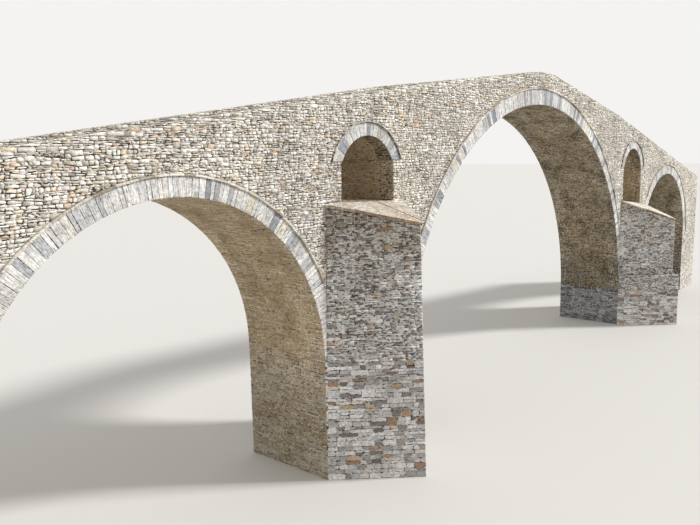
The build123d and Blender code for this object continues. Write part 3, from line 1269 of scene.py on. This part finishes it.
@dataclass
class Slabs:
    """A node cut into separate slabs: a hood course or a cap.

    The slabs may sink into the wall, drop and turn a little. Rows are the places across
    the bridge where slabs lie one behind the other, and rusty edges darken the sides.
    """

    node: str
    planes: Sequence[Cut]
    stone: Stone
    slot: str
    seed: int
    joint_mm: float = 6.0
    bevel_mm: float = 5.0
    sink_mm: float = 6.0
    drop_mm: float = 2.0
    turn: float = 0.02
    rows: Sequence[float] = ()
    rusty_edges: bool = False

    def build(self, solids: Solids) -> None:
        """Makes the slabs and dresses them.

        Args:
            solids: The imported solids.
        """
        rng = Random(self.seed)
        low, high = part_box(self.node)
        source = solids.copy(self.node)
        merge_flat(source)
        total = bmesh.new()
        stone_layers(total)
        for block in blocks(source, self.planes):
            for slab in blocks(block, self.cross_cuts(rng)):
                self.dress(slab, rng, low, high)
                append(total, slab)
        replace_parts(finish_piece(total, self.node + "_slabs", self.stone), self.node)

    def cross_cuts(self, rng: Random) -> list[Cut]:
        """Finds where a slab is cut again across the bridge.

        Args:
            rng: Source of the unevenness.

        Returns:
            Points and normals, one for each row.
        """
        made = []
        for place in self.rows:
            lean = Vector((rng.uniform(-0.2, 0.2), 1.0, 0.0)).normalized()
            made.append((Vector((0.0, place + rng.uniform(-0.06, 0.06), 0.0)), lean))
        return made

    def dress(self, block: BMesh, rng: Random, low: Vector, high: Vector) -> None:
        """Rounds a slab's edges, beds it unevenly and gives it a tone.

        Args:
            block: The slab.
            rng: Source of its unevenness.
            low: Least corner that it may reach.
            high: Greatest corner that it may reach.
        """
        merge_flat(block)
        tone, heart, bedding = stone_layers(block)
        points = [vert.co for vert in block.verts]
        middle = middle_of(points)
        size = max(max(p[i] for p in points) - min(p[i] for p in points) for i in range(3))
        shrink = Vector((1, 1, 1)) * (1 - self.joint_mm * MM / max(size, LEAST_SLAB))
        bmesh.ops.scale(block, vec=shrink, verts=block.verts[:], space=Matrix.Translation(-middle))
        sharp = [edge for edge in block.edges if edge.calc_face_angle(0.0) > SHARP_EDGE]
        bmesh.ops.bevel(
            block,
            geom=sharp,
            offset=self.bevel_mm * MM,
            offset_type="OFFSET",
            segments=1,
            profile=0.5,
            affect="EDGES",
            material=-1,
            clamp_overlap=True,
        )
        turn = Matrix.Rotation(rng.uniform(-self.turn, self.turn), 3, "Y")
        bmesh.ops.rotate(block, cent=middle, matrix=turn, verts=block.verts[:])
        side = 1.0 if middle.y > (low.y + high.y) / 2 else -1.0
        sink, drop = rng.uniform(0.0, self.sink_mm) * MM, rng.uniform(0.0, self.drop_mm) * MM
        bmesh.ops.translate(block, vec=(0.0, -side * sink, -drop), verts=block.verts[:])
        value = rng.random()
        offset = Vector((rng.uniform(0, PATTERN_SHIFT), rng.uniform(0, PATTERN_SHIFT)))
        for face in block.faces:
            face[tone] = value
            if self.rusty_edges:
                face[tone] = 0.25 + 0.75 * value if face.normal.z > 0.5 else 0.5 * value
            level = abs(face.normal.z) > 0.5
            along = Vector((1.0, 0.0, 0.0) if level else (-face.normal.y, face.normal.x, 0.0)).normalized()
            for loop in face.loops:
                place = loop.vert.co
                loop[bedding].uv = Vector((place.dot(along), place.y if level else place.z)) + offset
        for vert in block.verts:
            vert[heart] = 1.0
            vert.co = kept_inside(vert.co, low, high)


def stand(name: str, data: bpy.types.ID) -> bpy.types.Object:
    """Puts a mesh, a lamp or a camera into the scene.

    Args:
        name: The object's name.
        data: What it shows.

    Returns:
        The object.
    """
    made = bpy.data.objects.new(name, data)
    bpy.context.scene.collection.objects.link(made)
    return made


def finish_piece(bm: BMesh, name: str, finish: Finish) -> bpy.types.Object:
    """Turns a mesh into a piece of the bridge, and reports it.

    Args:
        bm: The mesh, which is freed.
        name: The piece's name.
        finish: Its finish.

    Returns:
        The piece, which rides on the bridge.
    """
    mesh = bpy.data.meshes.new(name)
    bm.to_mesh(mesh)
    bm.free()
    piece = stand(name, mesh)
    mesh.materials.append(finish.material())
    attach(piece, "root")
    log.info("%s: %d triangles", name, sum(len(polygon.vertices) - 2 for polygon in mesh.polygons))
    return piece


# The camera and the studio


@dataclass(frozen=True)
class Viewpoint:
    """Where the camera stands and looks: yaw from +Y towards +X, pitch up, and roll, in degrees."""

    position: tuple[float, float, float] = (-14.1501, -7.3582, 5.1439)
    yaw: float = 49.6267
    pitch: float = -8.9111
    roll: float = -1.114
    lens: float = 36.476
    sensor_width: float = 36.0
    clip: Pair = (0.05, 500.0)

    def build(self) -> None:
        """Makes the camera and uses it."""
        camera = bpy.data.cameras.new("camera")
        camera.sensor_width = self.sensor_width
        camera.lens = self.lens
        camera.clip_start, camera.clip_end = self.clip
        yaw, pitch, roll = (math.radians(a) for a in (self.yaw, self.pitch, self.roll))
        forward = Vector((math.sin(yaw) * math.cos(pitch), math.cos(yaw) * math.cos(pitch), math.sin(pitch)))
        level = Vector((math.cos(yaw), -math.sin(yaw), 0.0))
        above = level.cross(forward)
        right = level * math.cos(roll) + above * math.sin(roll)
        up = above * math.cos(roll) - level * math.sin(roll)
        turn = Matrix((right, up, -forward)).transposed().to_4x4()
        holder = stand("camera", camera)
        holder.matrix_world = Matrix.Translation(self.position) @ turn
        bpy.context.scene.camera = holder


@dataclass(frozen=True)
class Studio:
    """A pale floor, a broad soft lamp high at the front right, and an even sky that looks almost white."""

    floor_colour: str = "#c9c7c3"
    floor_size: float = 400.0
    floor_roughness: float = 0.9
    lamp_strength: float = 3.5
    lamp_angle: float = 8.0
    lamp_from: tuple[float, float, float] = (0.62, -0.62, 0.62)
    sky_colour: str = "#f4f3f1"
    sky_strength: float = 0.85

    def build(self) -> None:
        """Makes the floor, the lamp and the sky."""
        bm = bmesh.new()
        bmesh.ops.create_grid(bm, x_segments=1, y_segments=1, size=self.floor_size / 2)
        mesh = bpy.data.meshes.new("floor")
        bm.to_mesh(mesh)
        bm.free()
        paper = bpy.data.materials.new("floor_paper")
        paper.use_nodes = True
        shader = paper.node_tree.nodes["Principled BSDF"]
        shader.inputs["Base Color"].default_value = linear(self.floor_colour)
        shader.inputs["Roughness"].default_value = self.floor_roughness
        mesh.materials.append(paper)
        stand("floor", mesh)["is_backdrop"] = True

        sun = bpy.data.lights.new("key", "SUN")
        sun.energy = self.lamp_strength
        sun.angle = math.radians(self.lamp_angle)
        key = stand("key", sun)
        key.rotation_mode = "QUATERNION"
        key.rotation_quaternion = Vector(self.lamp_from).to_track_quat("Z", "Y")

        world = bpy.data.worlds.new("sky")
        world.use_nodes = True
        bpy.context.scene.world = world
        tree = world.node_tree
        background = tree.nodes["Background"]
        background.inputs["Color"].default_value = linear(self.sky_colour)
        seen = add_node(tree, "LightPath").outputs["Is Camera Ray"]
        strength = add_node(tree, "MapRange", {"Value": seen, "To Min": self.sky_strength, "To Max": 1.0})
        tree.links.new(strength.outputs["Result"], background.inputs["Strength"])


# The bridge


class Bridge:
    """All of the bridge's masonry, in the order in which it is built."""

    def __init__(self, solids: Solids) -> None:
        """Plans the pieces.

        Args:
            solids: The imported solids.
        """
        self.solids = solids
        self.pieces: list[Masonry | Slabs] = []
        self.plan_walls()
        self.plan_piers()
        self.plan_rings()
        self.plan_vaults()
        self.plan_slabs()

    def plan_walls(self) -> None:
        """Plans the rubble faces with the jambs in them, and the abutments."""
        slot, outer, inner = "rubble_wall", Outlook.OUTWARDS, Outlook.INWARDS
        for first, side, bond in ((7, "front", RUBBLE), (15, "back", PLAIN)):
            for seed, end in enumerate(("left", "right"), first):
                nodes = (f"{end}_arch_wall_{side}", f"{end}_spandrel_wall_{side}")
                self.add(f"{end}_wall_{side}", bond, WALL_STONE, slot, seed, outer, nodes)
                self.add(f"{end}_jambs_{side}", ROUGH, VAULT_STONE, slot, seed + 100, inner, nodes)
        for seed, end, stone in ((21, "left", VAULT_STONE), (22, "right", BROWN_STONE)):
            node = f"{end}_abutment"
            self.add(node, PLAIN, WALL_STONE, slot, seed, outer)
            self.add(node + "_side", COURSED, stone, slot, seed + 4, inner, (node,))

    def plan_piers(self) -> None:
        """Plans the piers and their cutwaters."""
        slot, outer, inner = "pier_masonry", Outlook.OUTWARDS, Outlook.INWARDS
        # The right pier's sides under the arches get dark grey stone, partly damp and partly painted shade
        for seed, end, top, stone in ((31, "left", 1.9, VAULT_STONE), (32, "right", 0.98, DAMP_AND_SHADED_STONE)):
            pier = f"{end}_pier"
            self.add(pier, RUBBLE, WALL_STONE, slot, seed, outer, low_top=top, mortar=GREY_LIME)
            self.add(pier + "_sides", COURSED, stone, slot, seed + 8, inner, (pier,), low_top=top)
            self.add(f"{end}_cutwater", COURSED, PIER_STONE, slot, seed + 4, low_top=top)

    def plan_rings(self) -> None:
        """Plans the dressed rings of the arches and of the relief openings."""
        slot = "dressed_ring_stone"
        for seed, (name, arch) in enumerate((ARCHES | RELIEFS).items(), 51):
            bond, edge = (VAULT, VAULT_STONE) if name == "left_arch" else (ROUGH, BROWN_STONE)
            for extra, side in enumerate(("front", "back")):
                joints = arch.joints(Random(seed * 7 + extra), low_mm=55.0, high_mm=115.0)
                ring, own = f"{name}_ring_{side}", seed + 10 * extra
                self.add(ring, VOUSSOIR, RING_STONE, slot, own, Outlook.OUTWARDS, joints=joints)
                self.add(ring + "_soffit", bond, edge, slot, own + 5, Outlook.INWARDS, (ring,), joints=joints)

    def plan_vaults(self) -> None:
        """Plans the undersides of the arches and the linings of the relief openings."""
        vaults = {
            "left_arch_barrel": (VAULT, VAULT_STONE),
            "main_arch_barrel": (ROUGH, BROWN_STONE),
            "right_arch_barrel": (ROUGH, BROWN_STONE),
            "left_relief_vault": (ROUGH, VAULT_STONE),
            "right_relief_vault": (ROUGH, VAULT_STONE),
        }
        for seed, (node, (bond, stone)) in enumerate(vaults.items(), 81):
            self.add(node, bond, stone, "soffit_masonry", seed)

    def plan_slabs(self) -> None:
        """Plans the hoods, the caps, the kerbs and the road."""
        for seed, (name, arch) in enumerate(ARCHES.items(), 91):
            for extra, side in enumerate(("front", "back")):
                joints = arch.joints(Random(seed * 5 + extra), low_mm=140.0, high_mm=300.0)
                hood = f"{name}_hood_{side}"
                self.pieces.append(Slabs(hood, joints.planes(), HOOD_STONE, "hood_slab", seed + 10 * extra))
        for seed, end in enumerate(("left", "right"), 141):
            cap = f"{end}_cutwater_cap"
            cuts = self.cap_cuts(cap, Random(seed))
            loose = {"drop_mm": 9.0, "turn": 0.03, "rows": (-0.45, -0.8), "rusty_edges": True}
            self.pieces.append(Slabs(cap, cuts, CAP_STONE, "cap_slab", seed + 10, **loose))
        for seed, side in enumerate(("front", "back"), 131):
            self.add(f"kerb_{side}", KERB, WALL_STONE, "kerb_stone", seed)
        self.add("road_paving", PAVING, ROAD_STONE, "road_cobble", 161)

    def add(
        self,
        name: str,
        bond: Bond,
        stone: Stone,
        slot: str,
        seed: int,
        outlook: Outlook = Outlook.ALL,
        nodes: tuple[str, ...] = (),
        **options: ArchJoints | Mortar | float,
    ) -> None:
        """Plans one piece of masonry, on the node of its own name unless others are given."""
        self.pieces.append(Masonry(name, nodes or (name,), bond, stone, slot, seed, outlook, **options))

    @staticmethod
    def cap_cuts(node: str, rng: Random) -> list[Cut]:
        """Cuts a cap into a few broad slabs.

        Args:
            node: The cap.
            rng: Source of the cuts.

        Returns:
            Points and normals, from left to right.
        """
        low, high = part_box(node)
        cuts = []
        for share in (0.2, 0.42, 0.63, 0.82):
            x = low.x + (high.x - low.x) * (share + rng.uniform(-0.04, 0.04))
            cuts.append((Vector((x, 0.0, 0.0)), Vector((1.0, rng.uniform(-0.15, 0.15), 0.0)).normalized()))
        return cuts

    def build(self) -> None:
        """Builds every piece, and paints the hidden filling."""
        for piece in self.pieces:
            piece.build(self.solids)
        core = self.solids.nodes["rubble_core"]
        core.data.materials.clear()
        core.data.materials.append(LIME.material())


def main() -> None:
    """Builds the dressed bridge, the studio and the camera."""
    logging.basicConfig(level=logging.INFO, format="%(message)s", stream=sys.stdout)
    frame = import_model()
    bpy.context.scene.view_settings.view_transform = "Standard"
    Studio().build()
    Viewpoint().build()
    Bridge(Solids(frame["nodes"])).build()


if __name__ == "__main__":
    main()
